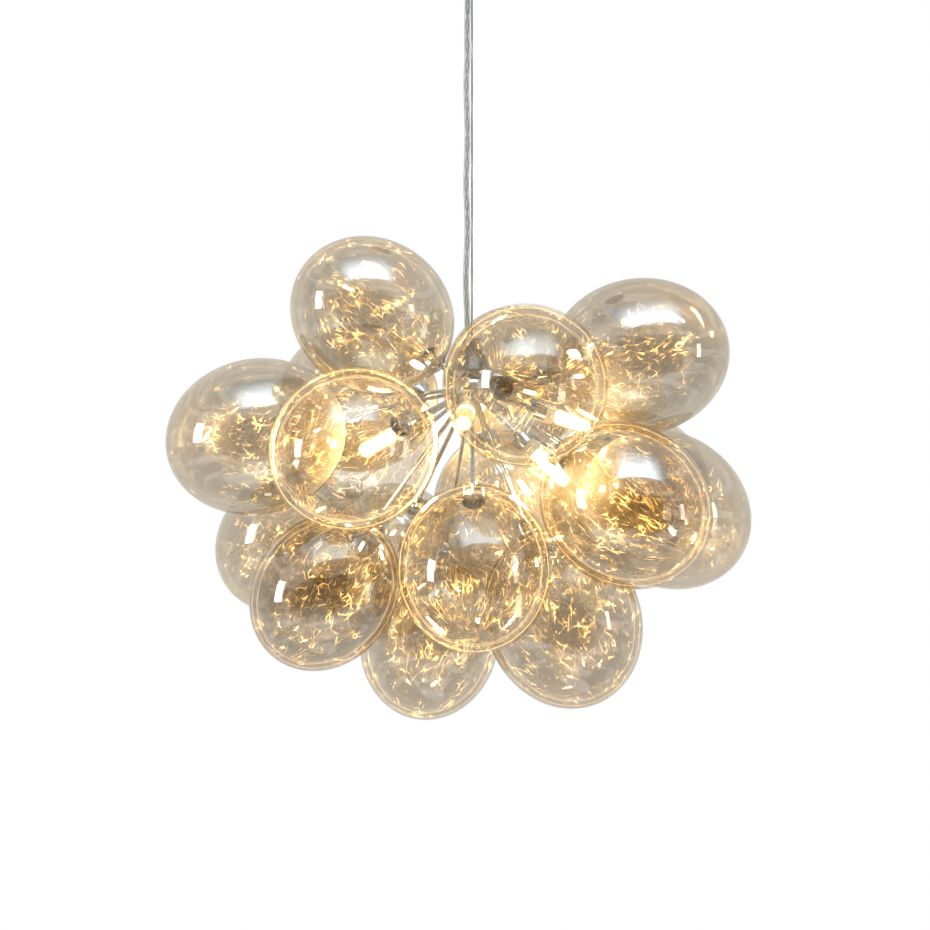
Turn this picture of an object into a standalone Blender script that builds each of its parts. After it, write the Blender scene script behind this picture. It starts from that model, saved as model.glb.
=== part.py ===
"""Bubble cluster pendant light.

Seventeen blown glass globes stand on thin arms around a small chrome hub.
Five capsule lamps sit between the arms.  A steel wire carries the hub from a
ceiling cup, and a clear cable runs down beside the wire.

Metres, +Z up.  The origin is the centre of the ceiling bracket's top face.
+X is to the viewer's right and +Y points away from the viewer.
"""

import math

import bmesh
import bpy
from mathutils import Vector

# Clearances
CLEARANCE = 0.0003
MERGE_DISTANCE = 0.00001
CUT_OVERRUN = 0.002

# Ceiling bracket
BRACKET_WIDTH = 0.022
BRACKET_THICKNESS = 0.002
BRACKET_END_GAP = 0.0028
BRACKET_CORNER = 0.003
SLOT_END_WEB = 0.0035
SLOT_LENGTH = 0.011
SLOT_WIDTH = 0.0056
BOSS_DIAMETER = 0.018
BOSS_HEIGHT = 0.008
BOSS_BORE_DEPTH = 0.006

# Terminal block inside the cup
BLOCK_LENGTH = 0.016
BLOCK_WIDTH = 0.018
BLOCK_HEIGHT = 0.012
BLOCK_EDGE = 0.0012
BLOCK_BOSS_GAP = 0.002

# Ceiling cup
CUP_DIAMETER = 0.100
CUP_HEIGHT = 0.026
CUP_WALL = 0.0012
CUP_CORNER = 0.007

# Ring nut and cord grip
SHANK_DIAMETER = 0.010
SHANK_BORE = 0.0070
RING_DIAMETER = 0.024
RING_HEIGHT = 0.005
RING_EDGE = 0.0008
GRIP_TOP_DIAMETER = 0.015
GRIP_MOUTH_WALL = 0.0012
PIVOT_DEPTH = 0.0045
SEAT_THICKNESS = 0.0010
GRIP_DEPTH = 0.0132
SWING_LIMIT = math.radians(21.0)

# Wire and cable
WIRE_DIAMETER = 0.0016
WIRE_BALL_DIAMETER = 0.0064
WIRE_BALL_BORE = 0.0025
WIRE_BALL_MOUTH = 0.0043
FERRULE_DIAMETER = 0.0054
FERRULE_LENGTH = 0.007
FERRULE_WALL_BELOW = 0.002
CABLE_DIAMETER = 0.0052
CABLE_TO_WIRE = 0.0004
CABLE_TOP_DROP = 0.0060
SUSPENSION_DROP = 0.353

# Top cap and hub
CAP_HEIGHT = 0.028
CAP_BASE_DIAMETER = 0.034
CAP_RIM = 0.0011
CAP_OPENING_DEPTH = 0.0055
CAP_WEB = 0.003
HUB_DIAMETER = 0.031
HUB_NECK_DIAMETER = 0.013
HUB_NECK_HEIGHT = 0.007
HUB_BORE_DEPTH = 0.0036

# Arms
ROD_DIAMETER = 0.0036
SPIGOT_DIAMETER = 0.0028
NECK_CAP_WALL = 0.0010
NECK_CAP_BACK = 0.0020
NECK_CAP_CONE = 0.0060

# Glass globes
GLOBE_WIDTH = 0.133
GLOBE_LENGTH = 0.156
GLASS_WALL = 0.0014
GLOBE_GAP = 0.004
NECK_DIAMETER = 0.018
NECK_LENGTH = 0.009

# Lamps
LAMP_ROD_DIAMETER = 0.0044
LAMP_SPIGOT_DIAMETER = 0.0032
LAMP_REACH = 0.060
LAMP_CUP_WALL = 0.0008
LAMP_CUP_DEPTH = 0.010
LAMP_CUP_BACK = 0.0015
LAMP_CUP_CONE = 0.005
SOCKET_DIAMETER = 0.017
SOCKET_LENGTH = 0.020
SOCKET_EDGE = 0.0015
BULB_BASE_DIAMETER = 0.0098
BULB_BASE_DEPTH = 0.008
BULB_BASE_STEP = 0.0025
BULB_DIAMETER = 0.014
BULB_LENGTH = 0.036

# Sides of the turned pieces
CUP_SIDES = 32
FITTING_SIDES = 20
CAP_SIDES = 16
SMALL_SIDES = 12
BORE_SIDES = 6
GLOBE_BANDS = 7
WIRE_POINTS = 30

# Shares
WIDTH_PER_LENGTH_share = 0.85
SMALL_GLOBE_share = 0.91
MIDDLE_GLOBE_share = 0.96
SLOT_END_share = 0.49

# Each globe: azimuth and elevation of its arm in degrees, the reach of its
# centre as a share of the globes' spacing, and its size as a share.
GLOBES_shares = [
    (-134.5, 26.5, 0.97, MIDDLE_GLOBE_share),
    (-171.5, -12.5, 1.39, 1.0),
    (-119.5, -15.0, 1.48, 1.0),
    (-76.5, -0.5, 1.33, 1.0),
    (-18.0, 10.0, 1.10, 1.0),
    (-43.5, -29.5, 1.46, 1.0),
    (7.5, -31.5, 1.45, 1.0),
    (-89.5, -47.0, 1.50, MIDDLE_GLOBE_share),
    (-160.0, -52.5, 1.59, SMALL_GLOBE_share),
    (156.5, -37.0, 1.60, SMALL_GLOBE_share),
    (137.5, -77.0, 1.63, SMALL_GLOBE_share),
    (-22.0, -67.0, 1.56, 1.0),
    (131.5, -2.0, 1.12, 1.0),
    (76.0, 4.5, 1.25, 1.0),
    (68.0, -51.0, 1.02, 1.0),
    (49.5, -20.0, 1.76, 1.0),
    (114.0, -39.5, 1.76, 1.0),
]

# Azimuth and elevation of each lamp in degrees
LAMP_ANGLES = [(-94.0, -16.0), (-155.0, -28.0), (-16.0, -44.0), (24.0, -16.0), (95.0, -16.0)]

# The cable's route from the top: share of its length, then how far it strays
# to the side of its straight line and towards the back, in metres.
CABLE_ROUTE = [
    (0.00, 0.0, 0.0),
    (0.06, 0.0, 0.0),
    (0.13, -0.0004, 0.0003),
    (0.20, -0.0002, 0.0008),
    (0.27, -0.0010, 0.0004),
    (0.34, -0.0006, -0.0004),
    (0.41, -0.0001, -0.0009),
    (0.48, -0.0005, -0.0003),
    (0.55, -0.0012, 0.0004),
    (0.62, -0.0005, 0.0009),
    (0.69, -0.0001, 0.0003),
    (0.76, -0.0009, -0.0004),
    (0.83, -0.0014, -0.0002),
    (0.90, -0.0006, 0.0002),
    (0.96, 0.0, 0.0),
    (1.00, 0.0, 0.0),
]
CORD_POINTS_PER_DIAMETER_share = 0.4

# Heights, from the ceiling down
cup_rim = -CLEARANCE
cup_bottom = cup_rim - CUP_HEIGHT
ring_top = cup_bottom - CLEARANCE
ring_bottom = ring_top - RING_HEIGHT
grip_top = ring_bottom - CLEARANCE
grip_mouth = grip_top - GRIP_DEPTH
pivot_height = grip_top - PIVOT_DEPTH
boss_bottom = -BRACKET_THICKNESS - BOSS_HEIGHT
shank_top = boss_bottom + BOSS_BORE_DEPTH - CLEARANCE
hub_height = pivot_height - SUSPENSION_DROP

# Radii and offsets that pieces share
wire_radius = WIRE_DIAMETER / 2
cable_radius = CABLE_DIAMETER / 2
cable_offset = wire_radius + cable_radius + CABLE_TO_WIRE
cable_reach = cable_offset + cable_radius
shank_radius = SHANK_DIAMETER / 2
ball_radius = WIRE_BALL_DIAMETER / 2
hub_radius = HUB_DIAMETER / 2
bracket_length = CUP_DIAMETER - 2 * CUP_WALL - 2 * BRACKET_END_GAP
slot_spacing = bracket_length - 2 * SLOT_END_WEB - SLOT_LENGTH

# Heights within the head, measured from the hub's centre
hub_neck_top = hub_radius + HUB_NECK_HEIGHT
cap_bottom = hub_radius + CLEARANCE
cap_top = cap_bottom + CAP_HEIGHT
web_top = cap_top - CAP_OPENING_DEPTH
web_bottom = web_top - CAP_WEB
ferrule_top = web_bottom - CLEARANCE
ferrule_bottom = ferrule_top - FERRULE_LENGTH
ferrule_floor = ferrule_bottom + FERRULE_WALL_BELOW

# The globes stand clear of each other whichever way they grow
globe_spacing = max(GLOBE_WIDTH, GLOBE_LENGTH * WIDTH_PER_LENGTH_share) + GLOBE_GAP


def clear_scene():
    for obj in list(bpy.data.objects):
        bpy.data.objects.remove(obj, do_unlink=True)
    for group in list(bpy.data.collections):
        bpy.data.collections.remove(group)


def new_collection(name):
    group = bpy.data.collections.new(name)
    bpy.context.scene.collection.children.link(group)
    return group


def new_material(name, colour, roughness, metallic, transmission=0.0):
    material = bpy.data.materials.new(name)
    material.use_nodes = True
    shader = material.node_tree.nodes["Principled BSDF"]
    shader.inputs["Base Color"].default_value = (*colour, 1.0)
    shader.inputs["Roughness"].default_value = roughness
    shader.inputs["Metallic"].default_value = metallic
    shader.inputs["Transmission Weight"].default_value = transmission
    material.diffuse_color = (*colour, 1.0)
    return material


def add_object(name, mesh, material, group, parent=None):
    obj = bpy.data.objects.new(name, mesh)
    obj.data.materials.append(material)
    obj.parent = parent
    group.objects.link(obj)
    return obj


def add_frame(name, height, group):
    frame = bpy.data.objects.new(name, None)
    frame.location = (0, 0, height)
    frame.empty_display_size = ROD_DIAMETER
    group.objects.link(frame)
    return frame


def turned(name, outline, sides, material, group, parent=None, ring=False):
    """A turned piece.  The outline holds (radius, height) pairs that run down
    the outer side, and a ring's outline closes on itself."""
    mesh = bpy.data.meshes.new(name)
    points = [(radius, 0.0, height) for radius, height in outline]
    edges = [(index, index + 1) for index in range(len(points) - 1)]
    if ring:
        edges.append((len(points) - 1, 0))
    mesh.from_pydata(points, edges, [])
    obj = add_object(name, mesh, material, group, parent)
    turn = obj.modifiers.new("Turn", "SCREW")
    turn.axis = "Z"
    turn.steps = sides
    turn.render_steps = sides
    turn.use_merge_vertices = True
    turn.merge_threshold = MERGE_DISTANCE
    turn.use_smooth_shade = True
    return obj


def corner_arc(centre_radius, centre_height, radius, start, end, steps):
    """Points of a round corner, with angles in degrees from the +radius side."""
    points = []
    for step in range(steps + 1):
        angle = math.radians(start + (end - start) * step / steps)
        across = centre_radius + radius * math.cos(angle)
        points.append((across, centre_height + radius * math.sin(angle)))
    return points


def direction(azimuth, elevation):
    turn = math.radians(azimuth)
    lift = math.radians(elevation)
    return Vector((math.cos(lift) * math.cos(turn), math.cos(lift) * math.sin(turn), math.sin(lift)))


def point_along(obj, azimuth, elevation):
    obj.rotation_euler = direction(azimuth, elevation).to_track_quat("Z", "Y").to_euler()


def add_cutter(name, mesh, cutters, parent=None):
    obj = bpy.data.objects.new(name, mesh)
    obj.parent = parent
    obj.hide_render = True
    obj.display_type = "WIRE"
    cutters.objects.link(obj)
    return obj


def round_bar_mesh(name, radius, low, high, sides):
    """A cylinder from one height to another, on the Z axis."""
    shape = bmesh.new()
    bmesh.ops.create_cone(
        shape, cap_ends=True, segments=sides, radius1=radius, radius2=radius, depth=high - low
    )
    bmesh.ops.translate(shape, verts=shape.verts, vec=(0, 0, (low + high) / 2))
    mesh = bpy.data.meshes.new(name)
    shape.to_mesh(mesh)
    shape.free()
    return mesh


def block_mesh(name, size, centre):
    shape = bmesh.new()
    bmesh.ops.create_cube(shape, size=1)
    bmesh.ops.scale(shape, verts=shape.verts, vec=size)
    bmesh.ops.translate(shape, verts=shape.verts, vec=centre)
    mesh = bpy.data.meshes.new(name)
    shape.to_mesh(mesh)
    shape.free()
    return mesh


def cut(obj, cutter, operation="DIFFERENCE"):
    boolean = obj.modifiers.new(cutter.name, "BOOLEAN")
    boolean.operation = operation
    boolean.solver = "EXACT"
    boolean.object = cutter


def bevel_edges(obj, width, segments, angle_limit_deg):
    bevel = obj.modifiers.new("Round edges", "BEVEL")
    bevel.width = width
    bevel.segments = segments
    bevel.limit_method = "ANGLE"
    bevel.angle_limit = math.radians(angle_limit_deg)


def round_upright_edges(obj, width):
    """Rounds only the edges that stand along Z, as on a stamped blank."""
    rounding = obj.modifiers.new("Round corners", "BEVEL")
    rounding.width = width
    rounding.segments = 3
    rounding.limit_method = "WEIGHT"
    weights = obj.data.attributes.new("bevel_weight_edge", "FLOAT", "EDGE")
    for edge in obj.data.edges:
        start, end = [obj.data.vertices[index].co for index in edge.vertices]
        is_upright = (start.xy - end.xy).length < MERGE_DISTANCE
        weights.data[edge.index].value = float(is_upright)


def smooth_through(points, spacing):
    """A Catmull-Rom curve through the points, read at about equal spacing."""
    ends = [points[0] * 2 - points[1]] + points + [points[-1] * 2 - points[-2]]
    dense = []
    parts = 24
    for index in range(1, len(ends) - 2):
        before, start, end, after = ends[index - 1:index + 3]
        for part in range(parts):
            t = part / parts
            dense.append(
                (
                    start * 2
                    + (end - before) * t
                    + (before * 2 - start * 5 + end * 4 - after) * t**2
                    + (start * 3 - before - end * 3 + after) * t**3
                )
                / 2
            )
    dense.append(points[-1])
    lengths = [0.0]
    for first, second in zip(dense, dense[1:]):
        lengths.append(lengths[-1] + (second - first).length)
    count = max(2, round(lengths[-1] / spacing))
    route = []
    for index in range(count + 1):
        target = lengths[-1] * index / count
        place = next((i for i, run in enumerate(lengths) if run >= target), len(lengths) - 1)
        place = max(place, 1)
        run = lengths[place] - lengths[place - 1]
        blend = (target - lengths[place - 1]) / run if run else 0.0
        route.append(dense[place - 1].lerp(dense[place], min(max(blend, 0.0), 1.0)))
    return route


def tube(name, points, diameter, material, group, parent=None):
    data = bpy.data.curves.new(name, "CURVE")
    data.dimensions = "3D"
    data.bevel_depth = diameter / 2
    data.bevel_resolution = 2
    data.use_fill_caps = True
    spline = data.splines.new("POLY")
    spline.points.add(len(points) - 1)
    for spot, point in zip(spline.points, points):
        spot.co = (*point, 1.0)
    data.materials.append(material)
    obj = bpy.data.objects.new(name, data)
    obj.parent = parent
    group.objects.link(obj)
    return obj


def ceiling_bracket(material, group, cutters):
    """A flat bar with two screw slots and a boss that takes the grip's shank."""
    middle = -BRACKET_THICKNESS / 2
    size = (bracket_length, BRACKET_WIDTH, BRACKET_THICKNESS)
    blank = block_mesh("ceiling_bracket", size, (0, 0, middle))
    bar = add_object("ceiling_bracket", blank, material, group)
    round_upright_edges(bar, BRACKET_CORNER)

    boss_mesh = round_bar_mesh("boss", BOSS_DIAMETER / 2, boss_bottom, middle, FITTING_SIDES)
    cut(bar, add_cutter("boss", boss_mesh, cutters), "UNION")

    bore_top = boss_bottom + BOSS_BORE_DEPTH
    bore_low = boss_bottom - CUT_OVERRUN
    bore_mesh = round_bar_mesh("boss_bore", shank_radius + CLEARANCE, bore_low, bore_top, FITTING_SIDES)
    cut(bar, add_cutter("boss_bore", bore_mesh, cutters))

    slot_size = (SLOT_LENGTH, SLOT_WIDTH, BRACKET_THICKNESS + 2 * CUT_OVERRUN)
    for name, side in (("slot_left", -1), ("slot_right", 1)):
        slot_mesh = block_mesh(name, slot_size, (side * slot_spacing / 2, 0, middle))
        slot = add_cutter(name, slot_mesh, cutters)
        round_upright_edges(slot, SLOT_WIDTH * SLOT_END_share)
        cut(bar, slot)


def terminal_block(material, group):
    left = BOSS_DIAMETER / 2 + BLOCK_BOSS_GAP
    top = -BRACKET_THICKNESS - CLEARANCE
    size = (BLOCK_LENGTH, BLOCK_WIDTH, BLOCK_HEIGHT)
    centre = (left + BLOCK_LENGTH / 2, 0, top - BLOCK_HEIGHT / 2)
    block = add_object("terminal_block", block_mesh("terminal_block", size, centre), material, group)
    bevel_edges(block, BLOCK_EDGE, 1, 60)


def ceiling_cup(material, group):
    """A drawn cup, open at the ceiling, with a hole for the grip's shank."""
    outer = CUP_DIAMETER / 2
    inner = outer - CUP_WALL
    hole = shank_radius + CLEARANCE
    outline = [(inner, cup_rim), (outer, cup_rim)]
    outline += corner_arc(outer - CUP_CORNER, cup_bottom + CUP_CORNER, CUP_CORNER, 0, -90, 3)
    outline += [(hole, cup_bottom), (hole, cup_bottom + CUP_WALL)]
    inner_corner = CUP_CORNER - CUP_WALL
    outline += corner_arc(outer - CUP_CORNER, cup_bottom + CUP_CORNER, inner_corner, -90, 0, 3)
    turned("ceiling_cup", outline, CUP_SIDES, material, group, ring=True)


def cup_ring_nut(material, group):
    outer = RING_DIAMETER / 2
    inner = shank_radius + CLEARANCE
    outline = [
        (inner, ring_top),
        (outer - RING_EDGE, ring_top),
        (outer, ring_top - RING_EDGE),
        (outer, ring_bottom + RING_EDGE),
        (outer - RING_EDGE, ring_bottom),
        (inner, ring_bottom),
    ]
    turned("cup_ring_nut", outline, FITTING_SIDES, material, group, ring=True)


def cord_grip(material, group):
    """The nipple that carries the wire's ball, with a mouth flared so that the
    cable stays clear when the light swings."""
    bore = SHANK_BORE / 2
    seat_hole = WIRE_BALL_MOUTH / 2 + CLEARANCE
    seat_drop = math.sqrt(ball_radius**2 - seat_hole**2)
    seat_low = pivot_height - seat_drop - SEAT_THICKNESS
    swing_sine = math.sin(SWING_LIMIT)
    swing_cosine = math.cos(SWING_LIMIT)
    cavity_radius = cable_reach * swing_cosine + CABLE_TOP_DROP * swing_sine + CLEARANCE
    mouth_fall = pivot_height - grip_mouth
    along = (mouth_fall + cable_reach * swing_sine) / swing_cosine
    mouth_radius = cable_reach * swing_cosine + along * swing_sine + CLEARANCE
    outer_mouth = mouth_radius + GRIP_MOUTH_WALL
    outer_cavity = cavity_radius + GRIP_MOUTH_WALL
    outline = [
        (bore, shank_top),
        (shank_radius, shank_top),
        (shank_radius, grip_top),
        (GRIP_TOP_DIAMETER / 2, grip_top),
        (outer_cavity, seat_low + SEAT_THICKNESS),
        (outer_mouth, grip_mouth),
        (mouth_radius, grip_mouth),
        (cavity_radius, seat_low),
        (seat_hole, seat_low),
        (seat_hole, pivot_height - seat_drop - CLEARANCE),
        (bore, pivot_height - seat_drop + SEAT_THICKNESS),
    ]
    turned("cord_grip", outline, FITTING_SIDES, material, group, ring=True)


def wire_ball(material, group, pivot):
    """The ball at the wire's top.  Its bore widens below, where the wire bends."""
    bore = WIRE_BALL_BORE / 2
    mouth = WIRE_BALL_MOUTH / 2
    top = math.degrees(math.acos(bore / ball_radius))
    low = math.degrees(math.acos(mouth / ball_radius))
    outline = corner_arc(0, 0, ball_radius, top, -low, 6) + [(bore, 0)]
    turned("wire_ball", outline, SMALL_SIDES, material, group, pivot, ring=True)


def suspension_wire(material, group, pivot):
    low = hub_height - pivot_height + ferrule_floor + CLEARANCE
    ends = [Vector((0, 0, 0)), Vector((0, 0, low))]
    count = WIRE_POINTS
    points = [ends[0].lerp(ends[1], index / count) for index in range(count + 1)]
    tube("suspension_wire", points, WIRE_DIAMETER, material, group, pivot)


def power_cable(material, group, pivot):
    top = -CABLE_TOP_DROP
    bottom = hub_height - pivot_height + web_top + CLEARANCE
    route = []
    for share, aside, back in CABLE_ROUTE:
        route.append(Vector((-cable_offset + aside, back, top + (bottom - top) * share)))
    spacing = CABLE_DIAMETER / CORD_POINTS_PER_DIAMETER_share
    tube("power_cable", smooth_through(route, spacing), CABLE_DIAMETER, material, group, pivot)


def wire_ferrule(material, group, head):
    outer = FERRULE_DIAMETER / 2
    bore = wire_radius + CLEARANCE
    outline = [
        (0, ferrule_floor),
        (bore, ferrule_floor),
        (bore, ferrule_top),
        (outer, ferrule_top),
        (outer, ferrule_bottom),
        (0, ferrule_bottom),
    ]
    turned("wire_ferrule", outline, SMALL_SIDES, material, group, head)


def top_cap(material, group, head):
    """The conical cap that hangs on the wire's ferrule and holds the hub."""
    opening = cable_reach + 2 * CLEARANCE
    wire_hole = wire_radius + CLEARANCE + CABLE_TO_WIRE
    chamber = FERRULE_DIAMETER / 2 + CAP_RIM
    neck_bore = HUB_NECK_DIAMETER / 2 + CLEARANCE
    outline = [
        (opening, cap_top),
        (opening + CAP_RIM, cap_top),
        (opening + CAP_RIM, web_top),
        (CAP_BASE_DIAMETER / 2, cap_bottom + CAP_RIM),
        (CAP_BASE_DIAMETER / 2, cap_bottom),
        (neck_bore, cap_bottom),
        (neck_bore, hub_neck_top + CLEARANCE),
        (chamber, hub_neck_top + CLEARANCE),
        (chamber, web_bottom),
        (wire_hole, web_bottom),
        (wire_hole, web_top),
        (opening, web_top),
    ]
    turned("top_cap", outline, CAP_SIDES, material, group, head, ring=True)


def hub_ball(material, group, cutters, head):
    """A ball with a neck and one blind bore for each arm and lamp rod."""
    neck = HUB_NECK_DIAMETER / 2
    start = math.degrees(math.acos(neck / hub_radius))
    outline = [(0, hub_neck_top), (neck, hub_neck_top)]
    outline += corner_arc(0, 0, hub_radius, start, -90, 9)[:-1] + [(0, -hub_radius)]
    hub = turned("hub_ball", outline, FITTING_SIDES, material, group, head)
    floor = hub_radius - HUB_BORE_DEPTH
    places = [(azimuth, elevation) for azimuth, elevation, reach, size in GLOBES_shares] + LAMP_ANGLES
    for number, (azimuth, elevation) in enumerate(places, 1):
        is_lamp = number > len(GLOBES_shares)
        radius = (LAMP_SPIGOT_DIAMETER if is_lamp else SPIGOT_DIAMETER) / 2 + CLEARANCE
        name = f"bore_{number:02d}"
        mesh = round_bar_mesh(name, radius, floor, hub_radius + CUT_OVERRUN, BORE_SIDES)
        bore = add_cutter(name, mesh, cutters, head)
        point_along(bore, azimuth, elevation)
        cut(hub, bore)


def globe_sizes(reach_share, size_share):
    reach = reach_share * globe_spacing
    width = GLOBE_WIDTH * size_share / 2
    length = GLOBE_LENGTH * size_share / 2
    neck = NECK_DIAMETER / 2
    neck_angle = math.pi - math.asin(neck / width)
    shoulder = reach + length * math.cos(neck_angle)
    return reach, width, length, neck, neck_angle, shoulder


def glass_globe(number, azimuth, elevation, reach_share, size_share, material, group, head):
    """A blown globe, longer along its arm than across, open at its neck."""
    reach, width, length, neck, neck_angle, shoulder = globe_sizes(reach_share, size_share)
    outer = []
    inner = []
    for band in range(GLOBE_BANDS + 1):
        angle = neck_angle * band / GLOBE_BANDS
        side = math.sin(angle)
        rise = math.cos(angle)
        outer.append((width * side, reach + length * rise))
        inner.append(((width - GLASS_WALL) * side, reach + (length - GLASS_WALL) * rise))
    outline = outer + [(neck, shoulder - NECK_LENGTH), (neck - GLASS_WALL, shoulder - NECK_LENGTH)]
    outline += [(neck - GLASS_WALL, shoulder)] + inner[:-1][::-1]
    globe = turned(f"globe_{number:02d}", outline, SMALL_SIDES, material, group, head)
    point_along(globe, azimuth, elevation)


def globe_arm(number, azimuth, elevation, reach_share, size_share, material, group, head):
    """A rod with a spigot for the hub and a cap that holds the glass neck."""
    reach, width, length, neck, neck_angle, shoulder = globe_sizes(reach_share, size_share)
    bore = neck + CLEARANCE
    outer = bore + NECK_CAP_WALL
    lip = shoulder - 2 * CLEARANCE
    floor = shoulder - NECK_LENGTH - CLEARANCE
    back = floor - NECK_CAP_BACK
    outline = [
        (0, floor),
        (bore, floor),
        (bore, lip),
        (outer, lip),
        (outer, back),
        (ROD_DIAMETER / 2, back - NECK_CAP_CONE),
        (ROD_DIAMETER / 2, hub_radius + CLEARANCE),
        (SPIGOT_DIAMETER / 2, hub_radius + CLEARANCE),
        (SPIGOT_DIAMETER / 2, hub_radius - HUB_BORE_DEPTH + CLEARANCE),
        (0, hub_radius - HUB_BORE_DEPTH + CLEARANCE),
    ]
    arm = turned(f"arm_{number:02d}", outline, SMALL_SIDES, material, group, head)
    point_along(arm, azimuth, elevation)


def lamp_cup(number, azimuth, elevation, material, group, head):
    """The metal cup and tube that carry a ceramic socket."""
    bore = SOCKET_DIAMETER / 2 + CLEARANCE
    outer = bore + LAMP_CUP_WALL
    back = LAMP_REACH - LAMP_CUP_BACK
    outline = [
        (0, LAMP_REACH),
        (bore, LAMP_REACH),
        (bore, LAMP_REACH + LAMP_CUP_DEPTH),
        (outer, LAMP_REACH + LAMP_CUP_DEPTH),
        (outer, back),
        (LAMP_ROD_DIAMETER / 2, back - LAMP_CUP_CONE),
        (LAMP_ROD_DIAMETER / 2, hub_radius + CLEARANCE),
        (LAMP_SPIGOT_DIAMETER / 2, hub_radius + CLEARANCE),
        (LAMP_SPIGOT_DIAMETER / 2, hub_radius - HUB_BORE_DEPTH + CLEARANCE),
        (0, hub_radius - HUB_BORE_DEPTH + CLEARANCE),
    ]
    cup = turned(f"lamp_cup_{number}", outline, SMALL_SIDES, material, group, head)
    point_along(cup, azimuth, elevation)


def lamp_socket(number, azimuth, elevation, material, group, head):
    """The ceramic socket, with a well for the bulb's base."""
    outer = SOCKET_DIAMETER / 2
    well = BULB_BASE_DIAMETER / 2 + CLEARANCE
    low = LAMP_REACH + CLEARANCE
    high = low + SOCKET_LENGTH
    outline = [
        (0, high - BULB_BASE_DEPTH),
        (well, high - BULB_BASE_DEPTH),
        (well, high),
        (outer - SOCKET_EDGE, high),
        (outer, high - SOCKET_EDGE),
        (outer, low),
        (0, low),
    ]
    socket = turned(f"lamp_socket_{number}", outline, SMALL_SIDES, material, group, head)
    point_along(socket, azimuth, elevation)


def bulb(number, azimuth, elevation, material, group, head):
    """A capsule bulb: a flat base in the socket and a rounded glass tip."""
    radius = BULB_DIAMETER / 2
    base = BULB_BASE_DIAMETER / 2
    low = LAMP_REACH + CLEARANCE + SOCKET_LENGTH - BULB_BASE_DEPTH + CLEARANCE
    body = low + BULB_BASE_DEPTH + BULB_BASE_STEP
    tip = body + BULB_LENGTH
    outline = [(0, tip)] + corner_arc(0, tip - radius, radius, 90, 0, 4)[1:]
    outline += [(radius, body + BULB_BASE_STEP), (base, body), (base, low), (0, low)]
    lamp = turned(f"bulb_{number}", outline, SMALL_SIDES, material, group, head)
    point_along(lamp, azimuth, elevation)


def build():
    clear_scene()
    group = new_collection("bubble_pendant_light")
    cutters = new_collection("cutters")

    chrome = new_material("chrome", (0.80, 0.81, 0.82), 0.06, 1.0)
    dark_chrome = new_material("dark chrome", (0.42, 0.41, 0.39), 0.14, 1.0)
    steel = new_material("steel", (0.62, 0.62, 0.60), 0.28, 1.0)
    zinc = new_material("zinc plate", (0.66, 0.67, 0.66), 0.38, 1.0)
    glass = new_material("champagne glass", (0.86, 0.74, 0.56), 0.02, 0.0, 0.92)
    clear = new_material("clear cable", (0.80, 0.83, 0.80), 0.18, 0.0, 0.6)
    ceramic = new_material("ceramic", (0.88, 0.86, 0.82), 0.35, 0.0)
    lamp_glass = new_material("lamp glass", (1.0, 0.93, 0.78), 0.08, 0.0, 0.3)
    plastic = new_material("terminal plastic", (0.85, 0.85, 0.83), 0.45, 0.0)

    ceiling = add_frame("ceiling_frame", 0.0, group)
    pivot = add_frame("swing_pivot", pivot_height, group)
    head = add_frame("head_frame", hub_height, group)
    pivot.parent = ceiling

    ceiling_bracket(zinc, group, cutters)
    terminal_block(plastic, group)
    ceiling_cup(chrome, group)
    cup_ring_nut(chrome, group)
    cord_grip(chrome, group)
    wire_ball(steel, group, pivot)
    suspension_wire(steel, group, pivot)
    power_cable(clear, group, pivot)
    wire_ferrule(steel, group, head)
    top_cap(dark_chrome, group, head)
    hub_ball(chrome, group, cutters, head)
    for number, place in enumerate(GLOBES_shares, 1):
        globe_arm(number, *place, chrome, group, head)
        glass_globe(number, *place, glass, group, head)
    for number, (azimuth, elevation) in enumerate(LAMP_ANGLES, 1):
        lamp_cup(number, azimuth, elevation, chrome, group, head)
        lamp_socket(number, azimuth, elevation, ceramic, group, head)
        bulb(number, azimuth, elevation, lamp_glass, group, head)


build()
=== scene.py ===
"""Looks of the bubble cluster pendant light: glass, metal, lamps and cords.

Metres, +Z up.  Each piece is made on the Z axis of the hub or the ceiling and
then set into its place, which is read from the frame.
"""

import math

import bmesh
import bpy
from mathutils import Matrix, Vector


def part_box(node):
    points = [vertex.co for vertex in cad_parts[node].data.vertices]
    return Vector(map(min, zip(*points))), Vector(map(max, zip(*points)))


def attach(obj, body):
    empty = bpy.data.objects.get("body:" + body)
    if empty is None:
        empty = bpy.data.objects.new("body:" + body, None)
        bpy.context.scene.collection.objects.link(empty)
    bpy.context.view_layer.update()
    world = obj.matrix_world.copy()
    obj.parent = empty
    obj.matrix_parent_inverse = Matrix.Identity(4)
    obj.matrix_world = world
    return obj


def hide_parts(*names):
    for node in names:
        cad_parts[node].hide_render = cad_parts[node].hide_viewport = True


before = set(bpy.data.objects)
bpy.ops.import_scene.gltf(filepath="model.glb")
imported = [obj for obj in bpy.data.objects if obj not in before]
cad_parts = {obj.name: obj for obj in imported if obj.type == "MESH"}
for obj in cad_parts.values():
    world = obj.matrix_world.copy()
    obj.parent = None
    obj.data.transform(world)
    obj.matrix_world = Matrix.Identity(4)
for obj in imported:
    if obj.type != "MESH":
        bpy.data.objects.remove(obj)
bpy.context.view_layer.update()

# Camera
CAMERA_DISTANCE = 2.8
CAMERA_SIDE = -0.006
CAMERA_BELOW_HUB = 0.0655
VIEW_WIDTH = 0.8017
SENSOR_WIDTH = 36.0

# Clearances
CLEARANCE = 0.0003
MERGE_DISTANCE = 0.000002
SAME_PLACE = MERGE_DISTANCE * 5

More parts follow.
